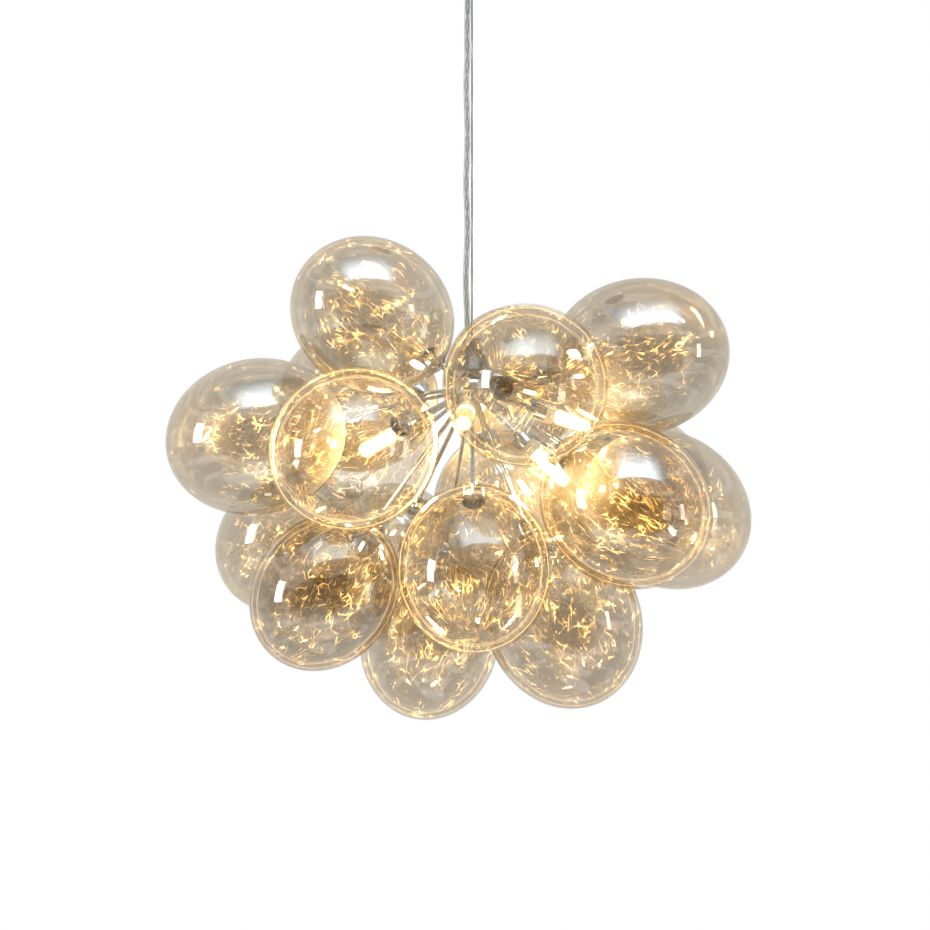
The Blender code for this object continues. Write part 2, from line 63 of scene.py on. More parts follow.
# Edges: what is sharp enough to round or to show, and how wide each is rounded
EDGE_ANGLE = math.radians(30.0)
CREASE_ANGLE = math.radians(35.0)
CORD_CREASE_ANGLE = math.radians(50.0)
GLASS_CREASE_ANGLE = math.radians(60.0)
EDGE_SEGMENTS = 2
FINE_EDGE = 0.0002
ARM_EDGE = 0.00025
PLATE_EDGE = 0.0003
POLE_EDGE = 0.0004
BULB_EDGE = 0.0005

# Sides of turned pieces
SCREW_SIDES = 24
ROD_SIDES = 32
SOCKET_SIDES = 36
BALL_SIDES = 40
CAP_SIDES = 64
CUP_SIDES = 96

# Globes
GLOBE_COUNT = 17
GLOBE_WIDTH = 0.133
GLOBE_LENGTH = 0.156
GLOBE_SEGMENTS = 72
GLOBE_RINGS = 44
GLASS_WALL = 0.0014
NECK_DIAMETER = 0.018
NECK_LENGTH = 0.009

# The glass turns into its neck in steps: how far each falls, and its share of
# the width above it.
NECK_STEPS = [(0.0006, 0.985), (0.0012, 0.995), (NECK_LENGTH - 0.0018, 1.0)]

# By globe number: the size of its mould, how much painted lamp light its glass
# gets, and how much painted shade darkens and browns it.  Above CLEAR_FROM, a
# globe with painted lamp light gets the lighter, clearer copy of the glass.
SIZE_SHARES = {1: 0.96, 8: 0.96, 9: 0.91, 10: 0.91, 11: 0.91}
PAINTED_LAMP_LIGHT_SHARES = {1: 0.1, 3: 1.0, 4: 0.6, 6: 0.4, 8: 1.0, 9: 0.45, 11: 0.35, 12: 0.4}
PAINTED_SHADE_SHARES = {1: 0.2, 2: 0.3, 5: 0.9, 7: 0.1, 8: 0.4, 9: 1.4, 11: 0.6, 12: 1.0}
CLEAR_FROM = 0.5

# The glass coat: cells per metre, heights in metres, and the mirror's colours, the last two being
# painted shade
COAT_WAVE_CELLS = 14.0
COAT_WAVE_HEIGHT = 0.0014
COAT_CLOUD_CELLS = 9.0
COAT_FACING = (0.93, 0.93, 0.92)
COAT_EDGE_ON = (0.66, 0.59, 0.49)
COAT_PAINTED_DARK_EDGE = (0.16, 0.13, 0.10)
COAT_PAINTED_SHADE = (0.36, 0.29, 0.20)

# The rippled wall inside, with its painted glints of lamp light.  What follows
# the grain is in cells round the globe and along it, and what breaks it up is in cells per metre.
SWIRL_CELLS = 3.0
SWIRL_FOLD = (0.42, 0.42, 0.70)
GLINT_THREAD_CELLS = (6.2, 6.2, 3.6)
STROKE_CELLS = (6.0, 6.0, 4.0)
GLINT_DOT_CELLS = (44.0, 44.0, 24.0)
GLINT_BREAK_CELLS = 120.0
GLINT_GLARE_CELLS = 52.0
GLINT_PATCH_CELLS = 24.0
RIPPLE_HEIGHT = 0.00022
WALL_MIRROR = (0.96, 0.93, 0.86)
DARK = (0.0, 0.0, 0.0)
PAINTED_GLINT_DEEP_GOLD = (1.0, 0.52, 0.11)
PAINTED_GLINT_PALE_GOLD = (1.0, 0.78, 0.42)
PAINTED_GLINT_GLOW = 32.0

# Painted bright rings near a globe's outline: how far out each is, where it starts to
# show beside that, and where it is full.
PAINTED_RIM_RINGS = [(0.58, 0.030, 0.004), (0.80, 0.040, 0.006)]

# Painted pools of lamp light on the glass: how strong each is near its lamp, and
# how far it reaches, in metres.  It is at full strength within FLOOD_CORE of the lamp's middle.
PAINTED_LAMP_POOLS = [(0.20, 0.045), (1.3, 0.105), (1.2, 0.095), (1.3, 0.100), (0.6, 0.080)]
FLOOD_CORE = 0.015
LAMP_MIDDLE = 0.110
LAMP_GLOW = 60.0

# Arms and hub
ROD_DIAMETER = 0.0036
SPIGOT_DIAMETER = 0.0028
COLLAR_WIDER = 0.0006
COLLAR_LENGTH = 0.0038
NECK_CAP_WALL = 0.0010
NECK_CAP_BACK = 0.0020
NECK_CAP_CONE = 0.0060
HUB_DIAMETER = 0.031
HUB_NECK_DIAMETER = 0.013
HUB_NECK_HEIGHT = 0.007
HUB_BORE_DEPTH = 0.0036
HUB_SEGMENTS = 64
HUB_RINGS = 40

# Lamps
LAMP_COUNT = 5
LAMP_ROD_DIAMETER = 0.0044
LAMP_SPIGOT_DIAMETER = 0.0032
LAMP_REACH = 0.060
LAMP_CUP_WALL = 0.0008
LAMP_CUP_DEPTH = 0.010
LAMP_CUP_BACK = 0.0015
LAMP_CUP_CONE = 0.005
SOCKET_DIAMETER = 0.017
SOCKET_LENGTH = 0.020
SOCKET_EDGE = 0.0015
SOCKET_MOUTH_EDGE = 0.0006
BULB_BASE_DIAMETER = 0.0098
BULB_BASE_DEPTH = 0.008
BULB_BASE_STEP = 0.0025
BULB_DIAMETER = 0.014
BULB_LENGTH = 0.036
BULB_TIP_ANGLE = 82
BULB_TIP_STEPS = 9

# Cups on rods: the slant round the back, and the rolled lips.  Each point of a
# lip is so far out from the wall, and so far down from the top.
CUP_BACK_SLANT = 0.0008
NECK_CAP_LIP = [(0.0, 0.0016), (0.0004, 0.0010), (0.0004, 0.0003), (0.0, 0.0)]
LAMP_CUP_LIP = [(0.0, 0.0012), (0.0003, 0.0006), (0.0, 0.0)]

# Ceiling fittings
BRACKET_THICKNESS = 0.002
BOSS_DIAMETER = 0.018
BOSS_HEIGHT = 0.008
BOSS_BORE_DEPTH = 0.006
CUP_DIAMETER = 0.100
CUP_HEIGHT = 0.026
CUP_WALL = 0.0012
CUP_CORNER = 0.007
CUP_CORNER_STEPS = 10
SHANK_DIAMETER = 0.010
SHANK_BORE = 0.0070
RING_DIAMETER = 0.024
RING_HEIGHT = 0.005
RING_EDGE = 0.0008
RING_SIDES = 96
KNURL_EVERY = 3
KNURL_SHARE = 0.968
GRIP_TOP_DIAMETER = 0.015
GRIP_MOUTH_WALL = 0.0012
GRIP_DEPTH = 0.0132
SEAT_THICKNESS = 0.0010
SWING_LIMIT = math.radians(21.0)

# Terminal block
BLOCK_LENGTH = 0.016
BLOCK_WIDTH = 0.018
BLOCK_HEIGHT = 0.012
BLOCK_BOSS_GAP = 0.002
BLOCK_POLES = 3
POLE_GAP = 0.0004
WIRE_ENTRY_RIM = 0.0011
WIRE_ENTRY_TAPER = 0.0002
WIRE_ENTRY_DEPTH = 0.004
TERMINAL_SCREW_RADIUS = 0.0015
TERMINAL_SCREW_SUNK = 0.0010
TERMINAL_SCREW_PROUD = 0.0004

# Screws with a socket: the head's rim, the socket's taper and the rounded edge
# as shares of the radius, and the socket's depth as a share of the length
SCREW_RIM_SHARE = 0.42
SCREW_TAPER_SHARE = 0.03
SCREW_EDGE_SHARE = 0.09
SCREW_DEPTH_SHARE = 0.4

# Wire ends and top cap
WIRE_BALL_DIAMETER = 0.0064
WIRE_BALL_BORE = 0.0025
WIRE_BALL_MOUTH = 0.0043
WIRE_BALL_STEPS = 16
FERRULE_DIAMETER = 0.0054
FERRULE_LENGTH = 0.007
FERRULE_WALL_BELOW = 0.002
CAP_HEIGHT = 0.028
CAP_BASE_DIAMETER = 0.034
CAP_RIM = 0.0011
CAP_BEAD_HEIGHT = 0.0016
CAP_BEAD_OUT = 0.0003
CAP_SKIRT_IN = 0.0005
CAP_SKIRT_UP = 0.0002
CAP_OPENING_DEPTH = 0.0055
CAP_WEB = 0.003
GRUB_RADIUS = 0.0011
GRUB_START = 0.0001
GRUB_END = 0.0014
GRUB_DIRECTION = (0.5, -0.87, 0)
GRUB_HEIGHT_SHARE = 0.4

# Cords
WIRE_DIAMETER = 0.0016
WIRE_LAY = 0.011
WIRE_STRANDS = 6
WIRE_STEPS_PER_LAY = 10
CABLE_DIAMETER = 0.0052
CABLE_TO_WIRE = 0.0004
CABLE_TOP_DROP = 0.0060
CORE_DIAMETER = 0.0015
CORE_SPREAD = 0.0011
CORE_LAY = 0.034
SUSPENSION_DROP = 0.353
CURVE_PARTS = 24

# The cable's route from the top: share of its length, then how far it strays
# to the side of its straight line and towards the back, in metres.
CABLE_ROUTE = [
    (0.00, 0.0, 0.0),
    (0.06, 0.0, 0.0),
    (0.13, -0.0004, 0.0003),
    (0.20, -0.0002, 0.0008),
    (0.27, -0.0010, 0.0004),
    (0.34, -0.0006, -0.0004),
    (0.41, -0.0001, -0.0009),
    (0.48, -0.0005, -0.0003),
    (0.55, -0.0012, 0.0004),
    (0.62, -0.0005, 0.0009),
    (0.69, -0.0001, 0.0003),
    (0.76, -0.0009, -0.0004),
    (0.83, -0.0014, -0.0002),
    (0.90, -0.0006, 0.0002),
    (0.96, 0.0, 0.0),
    (1.00, 0.0, 0.0),
]

# Studio.  Cards are placed by azimuth and elevation from the hub, in degrees.
SOFTBOX_PLACE = (14, 66)
SOFTBOX_DISTANCE = 2.2
SOFTBOX_SIZE = (2.9, 1.8)
SOFTBOX_COLOUR = (0.80, 1.0, 1.22)
WINDOW_DISTANCE = 3.0
WINDOWS = [
    ("window_left", (-68, 7), (0.62, 1.15), (1.0, 1.0, 1.0), 7.0),
    ("window_right", (66, 3), (0.34, 0.9), (1.0, 0.95, 0.84), 3.0),
]
DOME_RADIUS = 6.0
DOME_SEGMENTS = 48
DOME_RINGS = 24
WHITE = (1.0, 1.0, 1.0)
WALL_FRONT = (0.45, 0.44, 0.42)
WALL_BACK = (0.77, 0.76, 0.73)
DARK_ROOM = (0.035, 0.024, 0.014)
FLOOR_SIZE = 30
FLOOR_HEIGHT = -3.6
FLOOR_COLOUR = (0.8, 0.79, 0.77)
SKY_COLOUR = (1, 0.98, 0.95, 1)
SKY_STRENGTH = 0.7
GLASS_WALLS_SEEN_THROUGH = 48

# Heights read from the frame
hub_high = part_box("hub_ball")[1]
hub_radius = HUB_DIAMETER / 2
hub_height = hub_high.z - hub_radius - HUB_NECK_HEIGHT
hub_centre = Vector((0, 0, hub_height))
pivot_height = hub_height + SUSPENSION_DROP
cable_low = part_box("power_cable")[0]
wire_low, wire_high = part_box("suspension_wire")


class Value:
    """A socket of a finish.  Sums and products on it add the nodes they need."""

    def __init__(self, finish, socket):
        self.finish = finish
        self.socket = socket

    def math(self, operation, first, second):
        return self.finish.node("ShaderNodeMath", {"operation": operation}, {0: first, 1: second})

    def __add__(self, other):
        return self.math("ADD", self, other)

    def __radd__(self, other):
        return self.math("ADD", other, self)

    def __sub__(self, other):
        return self.math("SUBTRACT", self, other)

    def __rsub__(self, other):
        return self.math("SUBTRACT", other, self)

    def __mul__(self, other):
        return self.math("MULTIPLY", self, other)

    def __rmul__(self, other):
        return self.math("MULTIPLY", other, self)

    def __truediv__(self, other):
        return self.math("DIVIDE", self, other)

    def __rtruediv__(self, other):
        return self.math("DIVIDE", other, self)

    def __pow__(self, other):
        return self.math("POWER", self, other)

    def __rpow__(self, other):
        return self.math("POWER", other, self)


class Finish:
    """A material, or the world, whose nodes are added one by one."""

    def __init__(self, name, tree=None):
        if tree is None:
            self.material = bpy.data.materials.new(name)
            self.material.use_nodes = True
            tree = self.material.node_tree
        self.tree = tree
        self.tree.nodes.clear()

    def node(self, kind, settings=None, inputs=None, output=0):
        made = self.tree.nodes.new(kind)
        for name, value in (settings or {}).items():
            if name == "stops":
                self.set_stops(made.color_ramp, value)
            else:
                setattr(made, name, value)
        for name, value in (inputs or {}).items():
            if isinstance(value, Value):
                self.tree.links.new(value.socket, made.inputs[name])
            else:
                made.inputs[name].default_value = value
        return Value(self, made.outputs[output])

    def set_stops(self, ramp, stops):
        while len(ramp.elements) < len(stops):
            ramp.elements.new(1.0)
        for element, (place, shade) in zip(ramp.elements, stops):
            element.position = place
            element.color = (shade, shade, shade, 1.0)

    def stretch(self, spot, scale):
        return self.node("ShaderNodeMapping", {}, {"Vector": spot, "Scale": scale})

    def place(self, scale=(1, 1, 1)):
        return self.stretch(self.node("ShaderNodeTexCoord", output="Object"), scale)

    def noise(self, vector, scale, detail=2.0, rough=0.5):
        sizes = {"Vector": vector, "Scale": scale, "Detail": detail, "Roughness": rough}
        return self.node("ShaderNodeTexNoise", {}, sizes)

    def ramp(self, value, stops):
        return self.node("ShaderNodeValToRGB", {"stops": stops}, {"Fac": value})

    def blend(self, mask, *colours):
        """Mixes two colours.  6, 7 and 2 are a Mix node's colour sockets."""
        first, second = [self.paint(colour) for colour in colours]
        sockets = {"Factor": mask, 6: first, 7: second}
        return self.node("ShaderNodeMix", {"data_type": "RGBA"}, sockets, 2)

    def paint(self, colour):
        return colour if isinstance(colour, Value) else (*colour, 1.0)

    def attribute(self, name, output="Fac"):
        return self.node("ShaderNodeAttribute", {"attribute_name": name}, output=output)

    def bump(self, height, distance):
        return self.node("ShaderNodeBump", {}, {"Height": height, "Distance": distance})

    def surface(self, colour, **inputs):
        plain = {"Base Color": self.paint(colour)}
        for name, value in inputs.items():
            plain[name.replace("_", " ").title()] = value
        return self.node("ShaderNodeBsdfPrincipled", {}, plain)

    def fade(self, value, low, high):
        """Rises smoothly from 0 to 1 as the value goes from low to high."""
        sizes = {"Value": value, "From Min": low, "From Max": high}
        return self.node("ShaderNodeMapRange", {"interpolation_type": "SMOOTHSTEP"}, sizes)

    def absolute(self, value):
        return self.node("ShaderNodeMath", {"operation": "ABSOLUTE"}, {0: value})

    def split(self, spot):
        parts = self.node("ShaderNodeSeparateXYZ", {}, {"Vector": spot})
        return [Value(self, socket) for socket in parts.socket.node.outputs]

    def glow(self, colour, strength):
        return self.node("ShaderNodeEmission", {}, {"Color": self.paint(colour), "Strength": strength})

    def facing(self, blend):
        """0 where the surface faces the eye, 1 at its outline."""
        return self.node("ShaderNodeLayerWeight", {}, {"Blend": blend}, "Facing")

    def tinted(self, colour):
        return self.node("ShaderNodeBsdfTransparent", {}, {"Color": (*colour, 1.0)})

    def mixed(self, factor, first, second):
        return self.node("ShaderNodeMixShader", {}, {0: factor, 1: first, 2: second})

    def out(self, shader):
        output = self.tree.nodes.new("ShaderNodeOutputMaterial")
        self.tree.links.new(shader.socket, output.inputs["Surface"])
        return self.material


def champagne_coat(name, tint, mirrored):
    """The globes' outer side: a light mirror coat that lets amber light through."""
    finish = Finish(name)
    spot = finish.place()
    waves = finish.bump(finish.noise(spot, COAT_WAVE_CELLS, 1.0), COAT_WAVE_HEIGHT)
    edge = finish.facing(0.5)
    dense = finish.attribute("dense")
    # Painted shade: a dark brown band drawn along the outline of the globes that have no painted lamp
    # light
    outline = finish.fade(edge, 0.84, 0.97) * (1.0 - finish.attribute("lit")) * 0.7
    shade = finish.blend(edge**3.0, COAT_FACING, COAT_EDGE_ON)
    shade = finish.blend(outline, shade, COAT_PAINTED_DARK_EDGE)
    # Painted shade: where a globe's dense value is set, its mirror is drawn darker, browner and
    # stronger, so the glass looks darker
    shade = finish.blend(dense * 0.32, shade, COAT_PAINTED_SHADE)
    mirror = finish.surface(shade, metallic=1.0, roughness=0.02, normal=waves)
    clouds = finish.noise(spot, COAT_CLOUD_CELLS, 1.0) * 0.06
    factor = dense * mirrored * 0.9 + mirrored + clouds + edge**4.0 * mirrored * 2.2
    return finish.out(finish.mixed(factor, finish.tinted(tint), mirror))


def painted_lamp_pools(finish, spot):
    """How strongly painted lamp light shows on the glass, by its distance from each lamp."""
    near = 0.0
    for number, (strength, reach) in enumerate(PAINTED_LAMP_POOLS, 1):
        direction = far_point(f"bulb_{number}").normalized()
        ends = {0: spot, 1: hub_centre + direction * LAMP_MIDDLE}
        away = finish.node("ShaderNodeVectorMath", {"operation": "DISTANCE"}, ends, "Value")
        near = finish.fade(away, reach, FLOOD_CORE)**3.0 * strength + near
    return near


def rippled_wall(name, tint, mirrored):
    """The globes' inner side: a rippled mirror, with painted glints of lamp light drawn as golden
    threads that glow.
    """
    finish = Finish(name)
    finish.material.cycles.emission_sampling = "NONE"
    spot = finish.place()
    lit = finish.attribute("lit")
    edge = finish.facing(0.5)
    near = painted_lamp_pools(finish, spot)

    # The grain, folded so that nothing on it runs straight
    grain = finish.attribute("grain", "Vector")
    noise = {"Vector": grain, "Scale": SWIRL_CELLS, "Detail": 1.0}
    swirl = finish.node("ShaderNodeTexNoise", {}, noise, "Color")
    folds = {0: swirl, 1: SWIRL_FOLD, 2: grain}
    folded = finish.node("ShaderNodeVectorMath", {"operation": "MULTIPLY_ADD"}, folds)
    strokes = finish.noise(finish.stretch(folded, STROKE_CELLS), 1.0, 1.0)
    ripples = finish.bump(strokes, RIPPLE_HEIGHT)

    # Painted glints: threads along the borders of cells, a glow beside them, and dots
    cells = {"Vector": finish.stretch(folded, GLINT_THREAD_CELLS), "Scale": 1.0}
    net = finish.node("ShaderNodeTexVoronoi", {"feature": "DISTANCE_TO_EDGE"}, cells)
    threads = finish.fade(net, 0.036, 0.0)**2.0
    haze = finish.fade(net, 0.15, 0.0)**2.0
    glint_dots = finish.fade(finish.noise(finish.stretch(folded, GLINT_DOT_CELLS), 1.0, 1.0), 0.64, 0.72)

    # What breaks the painted glints up, and where they gather: most where the glass faces the eye,
    # near the lamps and on globes with painted lamp light
    sparks = finish.fade(finish.noise(spot, GLINT_BREAK_CELLS, 1.0), 0.50, 0.60)
    glare = finish.fade(finish.noise(spot, GLINT_GLARE_CELLS, 1.0), 0.42, 0.72)**2.0
    glint_patch = finish.fade(finish.noise(spot, GLINT_PATCH_CELLS, 1.0), 0.38, 0.60)
    middle = finish.fade(edge, 0.34, 0.05)
    gathered = glint_patch * (0.07 + middle * 0.75 + lit * 0.50) + near * 0.8

    # Painted bright rings that follow the outline a little unevenly
    wander = edge + (strokes - 0.5) * 0.10
    rings = 0.0
    for place, soft, full in PAINTED_RIM_RINGS:
        rings = finish.fade(finish.absolute(wander - place), soft, full) + rings

    # The painted light, drawn as glow: glints, pools near the lamps, a faint glow in the middle and
    # the rings
    drawn = (threads * 1.7 + glint_dots * 0.9) * sparks * (0.25 + glare * 5.5)
    drawn = drawn + haze * (0.014 + glare * 0.17)
    light = drawn * gathered + near * 0.30 + middle * glint_patch * 0.008
    light = light + rings * (0.006 + lit * 0.09)
    glint_gold = finish.blend(near + rings * 0.6 + threads * 0.4, PAINTED_GLINT_DEEP_GOLD, PAINTED_GLINT_PALE_GOLD)
    mirror = finish.surface(
        WALL_MIRROR, metallic=1.0, roughness=0.03, normal=ripples,
        emission_color=finish.blend(light, DARK, glint_gold), emission_strength=PAINTED_GLINT_GLOW,
    )
    factor = mirrored + finish.facing(0.3)**2.0 * 0.22
    return finish.out(finish.mixed(factor, finish.tinted(tint), mirror))


def polished_metal(name, colour, roughness, wear=0.05):
    """Bright plate with faint polishing marks and cloudy patches."""
    finish = Finish(name)
    cloud = finish.noise(finish.place(), 130.0, 3.0)
    marks = finish.noise(finish.place((300.0, 300.0, 2400.0)), 1.0, 2.0)
    dull = tuple(part * 0.84 for part in colour)
    shade = finish.blend(finish.ramp(cloud, [(0.35, 0.0), (0.75, 1.0)]), colour, dull)
    rough = roughness + cloud * wear
    normal = finish.bump(marks, 0.00002)
    return finish.out(finish.surface(shade, metallic=1.0, roughness=rough, normal=normal))


def zinc_plate():
    """Dull plate with the small crystals of zinc."""
    finish = Finish("zinc plate")
    crystals = {"Vector": finish.place(), "Scale": 420.0}
    cells = finish.node("ShaderNodeTexVoronoi", {}, crystals, "Color")
    grey = finish.node("ShaderNodeRGBToBW", {}, {"Color": cells})
    shade = finish.blend(grey, (0.58, 0.60, 0.61), (0.72, 0.74, 0.74))
    return finish.out(finish.surface(shade, metallic=1.0, roughness=0.30 + grey * 0.16))


def clear_jacket():
    """Soft clear plastic: see-through, greyer where it is seen edge on."""
    finish = Finish("clear jacket")
    haze = finish.noise(finish.place(), 240.0, 2.0)
    shade = finish.blend(haze, (0.60, 0.64, 0.60), (0.76, 0.79, 0.76))
    plastic = finish.surface(shade, roughness=0.16, normal=finish.bump(haze, 0.0003))
    factor = 0.34 + finish.facing(0.4)**1.5 * 0.46
    return finish.out(finish.mixed(factor, finish.tinted((0.93, 0.95, 0.93)), plastic))


def glazed_ceramic():
    """White glaze with sparse dark specks."""
    finish = Finish("ceramic")
    spot = finish.place()
    specks = finish.ramp(finish.noise(spot, 1500.0, 2.0), [(0.62, 0.0), (0.74, 1.0)])
    shade = finish.blend(specks, (0.86, 0.84, 0.79), (0.60, 0.55, 0.48))
    grain = finish.bump(finish.noise(spot, 900.0), 0.00008)
    return finish.out(finish.surface(shade, roughness=0.32, coat_weight=0.4, normal=grain))


def moulded_plastic():
    """White nylon with the fine grain of its mould."""
    finish = Finish("terminal plastic")
    grain = finish.noise(finish.place(), 1800.0, 2.0)
    shade = finish.blend(grain, (0.80, 0.80, 0.77), (0.88, 0.88, 0.86))
    return finish.out(finish.surface(shade, roughness=0.42, normal=finish.bump(grain, 0.00005)))


def lit_glass():
    """The lamp's envelope, glowing warm in soft bands, with a dim rim."""
    finish = Finish("lit glass")
    bands = finish.noise(finish.place(), 160.0, 1.0)
    warm = finish.blend(bands, (1.0, 0.84, 0.55), (1.0, 0.92, 0.70))
    rim = finish.fade(finish.facing(0.5), 0.18, 0.46)
    warm = finish.blend(rim, warm, (0.020, 0.0105, 0.0018))
    lamp = {"emission_color": warm, "emission_strength": LAMP_GLOW}
    return finish.out(finish.surface((0.95, 0.88, 0.72), roughness=0.08, **lamp))


def select_only(*objects):
    bpy.ops.object.select_all(action="DESELECT")
    for obj in objects:
        obj.select_set(True)
    bpy.context.view_layer.objects.active = objects[0]


def named(name):
    obj = bpy.context.active_object
    obj.name = name
    obj.data.name = name
    return obj


def edit(obj):
    select_only(obj)
    bpy.ops.object.mode_set(mode="EDIT")


def leave_edit():
    bpy.ops.object.mode_set(mode="OBJECT")


def pick_vertices(obj, test):
    """Selects, in edit mode, the vertices that pass a test of number and place."""
    shape = bmesh.from_edit_mesh(obj.data)
    for number, vertex in enumerate(shape.verts):
        vertex.select = test(number, vertex.co)
    shape.select_flush_mode()
    bmesh.update_edit_mesh(obj.data)


def pick_faces(obj, test):
    """Selects, in edit mode, the faces whose centre and normal pass the test."""
    bpy.ops.mesh.select_all(action="DESELECT")
    shape = bmesh.from_edit_mesh(obj.data)
    for face in shape.faces:
        face.select = test(face.calc_center_median(), face.normal)
    bmesh.update_edit_mesh(obj.data)


def modify(obj, kind, **settings):
    select_only(obj)
    modifier = obj.modifiers.new(kind.title(), kind)
    for name, value in settings.items():
        setattr(modifier, name, value)
    bpy.ops.object.modifier_apply(modifier=modifier.name)


def smooth(obj, angle):
    select_only(obj)
    bpy.ops.object.shade_smooth_by_angle(angle=angle)


def soften(obj, width):
    """Rounds the sharp edges, if it is given a width, and shades the rest smooth."""
    if width:
        modify(
            obj, "BEVEL", width=width, segments=EDGE_SEGMENTS, limit_method="ANGLE",
            angle_limit=EDGE_ANGLE, harden_normals=False,
        )
    smooth(obj, CREASE_ANGLE)


def close_shape():
    """In edit mode: joins what meets and turns every face outwards."""
    bpy.ops.mesh.select_all(action="SELECT")
    bpy.ops.mesh.remove_doubles(threshold=MERGE_DISTANCE)
    bpy.ops.mesh.normals_make_consistent(inside=False)
    leave_edit()


def turned(name, outline, sides, finish, closed=False):
    """A turned piece on the Z axis: a ring drawn out from each point of the
    outline to the next.  Both ends are filled, or joined if it is closed."""
    points = outline + outline[:1] if closed else outline
    radius, height = points[0]
    bpy.ops.mesh.primitive_circle_add(vertices=sides, radius=radius, location=(0, 0, height))
    obj = named(name)
    bpy.ops.object.transform_apply(location=True)
    bpy.ops.object.mode_set(mode="EDIT")
    bpy.ops.mesh.select_all(action="SELECT")
    if not closed:
        bpy.ops.mesh.edge_face_add()
        bpy.ops.mesh.duplicate()
        bpy.ops.mesh.delete(type="ONLY_FACE")
        pick_vertices(obj, lambda number, spot: number >= sides)
    for (radius, height), (next_radius, next_height) in zip(points, points[1:]):
        step = (0, 0, next_height - height)
        size = next_radius / radius
        bpy.ops.mesh.extrude_edges_move(TRANSFORM_OT_translate={"value": step})
        bpy.ops.transform.resize(value=(size, size, 1), center_override=(0, 0, next_height))
    if not closed:
        bpy.ops.mesh.edge_face_add()
    close_shape()
    obj.data.materials.append(finish)
    return obj


def arc(centre_radius, centre_height, radius, start, end, steps):
    """Points of a round corner, with angles in degrees from the +radius side."""
    points = []
    for step in range(steps + 1):
        angle = math.radians(start + (end - start) * step / steps)
        across = centre_radius + radius * math.cos(angle)
        points.append((across, centre_height + radius * math.sin(angle)))
    return points


def set_along(obj, direction, centre=hub_centre):
    """Turns a piece made on the Z axis to point along the direction from the centre."""
    obj.rotation_euler = direction.to_track_quat("Z", "Y").to_euler()
    obj.location = centre
    select_only(obj)
    bpy.ops.object.transform_apply(location=True, rotation=True, scale=True)


def hand_over(obj, body, node):
    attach(obj, body)
    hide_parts(node)


def far_point(node):
    """The node's farthest point from the hub, which lies on its own axis."""
    corners = [vertex.co - hub_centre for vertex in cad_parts[node].data.vertices]
    return max(corners, key=lambda corner: corner.length)


def smooth_through(points, spacing):
    """A Catmull-Rom curve through the points, read at about equal spacing."""
    ends = [points[0] * 2 - points[1]] + points + [points[-1] * 2 - points[-2]]
    dense = []
    for index in range(1, len(ends) - 2):
        before, start, end, after = ends[index - 1:index + 3]
        for part in range(CURVE_PARTS):
            t = part / CURVE_PARTS
            linear = (end - before) * t
            square = (before * 2 - start * 5 + end * 4 - after) * t**2
            cubic = (start * 3 - before - end * 3 + after) * t**3
            dense.append((start * 2 + linear + square + cubic) / 2)
    dense.append(points[-1])
    lengths = [0.0]
    for first, second in zip(dense, dense[1:]):
        lengths.append(lengths[-1] + (second - first).length)
    count = round(lengths[-1] / spacing)
    route = []
    place = 1
    for index in range(count + 1):
        target = lengths[-1] * index / count
        while place < len(lengths) - 1 and lengths[place] < target:
            place += 1
        run = lengths[place] - lengths[place - 1]
        share = (target - lengths[place - 1]) / run
        route.append(dense[place - 1].lerp(dense[place], min(max(share, 0.0), 1.0)))
    return route


def path_length(points):
    return sum((second - first).length for first, second in zip(points, points[1:]))


def tube(name, routes, diameter, finish, resolution):
    """Round tubes along the routes, as one mesh with closed ends."""
    data = bpy.data.curves.new(name, "CURVE")
    data.dimensions = "3D"
    data.bevel_depth = diameter / 2
    data.bevel_resolution = resolution
    data.use_fill_caps = True
    for route in routes:
        spline = data.splines.new("POLY")
        spline.points.add(len(route) - 1)
        for spot, point in zip(spline.points, route):
            spot.co = (*point, 1.0)
    obj = bpy.data.objects.new(name, data)
    bpy.context.scene.collection.objects.link(obj)
    select_only(obj)
    bpy.ops.object.convert(target="MESH")
    obj = named(name)
    edit(obj)
    close_shape()
    smooth(obj, CORD_CREASE_ANGLE)
    obj.data.materials.append(finish)
    return obj


def set_camera():
    data = bpy.data.cameras.new("camera")
    data.sensor_width = SENSOR_WIDTH
    data.lens = SENSOR_WIDTH * CAMERA_DISTANCE / VIEW_WIDTH
    camera = bpy.data.objects.new("camera", data)
    camera.location = (CAMERA_SIDE, -CAMERA_DISTANCE, hub_height - CAMERA_BELOW_HUB)
    camera.rotation_euler = (math.radians(90.0), 0, 0)
    bpy.context.scene.collection.objects.link(camera)
    bpy.context.scene.camera = camera


def around(angle, radius):
    return Vector((math.cos(angle), math.sin(angle), 0)) * radius


def steel_wire():
    """Six strands laid round a seventh."""
    strand = WIRE_DIAMETER / 3
    top = wire_high.z
    run = top - wire_low.z
    steps = round(run / WIRE_LAY * WIRE_STEPS_PER_LAY)
    falls = [run * step / steps for step in range(steps + 1)]
    routes = [[Vector((0, 0, top - fall)) for fall in falls]]
    for number in range(WIRE_STRANDS):
        route = []
        for fall in falls:
            side = around(math.tau * (number / WIRE_STRANDS + fall / WIRE_LAY), strand)
            route.append(side + Vector((0, 0, top - fall)))
        routes.append(route)
    wire = tube("steel_wire", routes, strand, steel, 1)
    hand_over(wire, "drop", "suspension_wire")


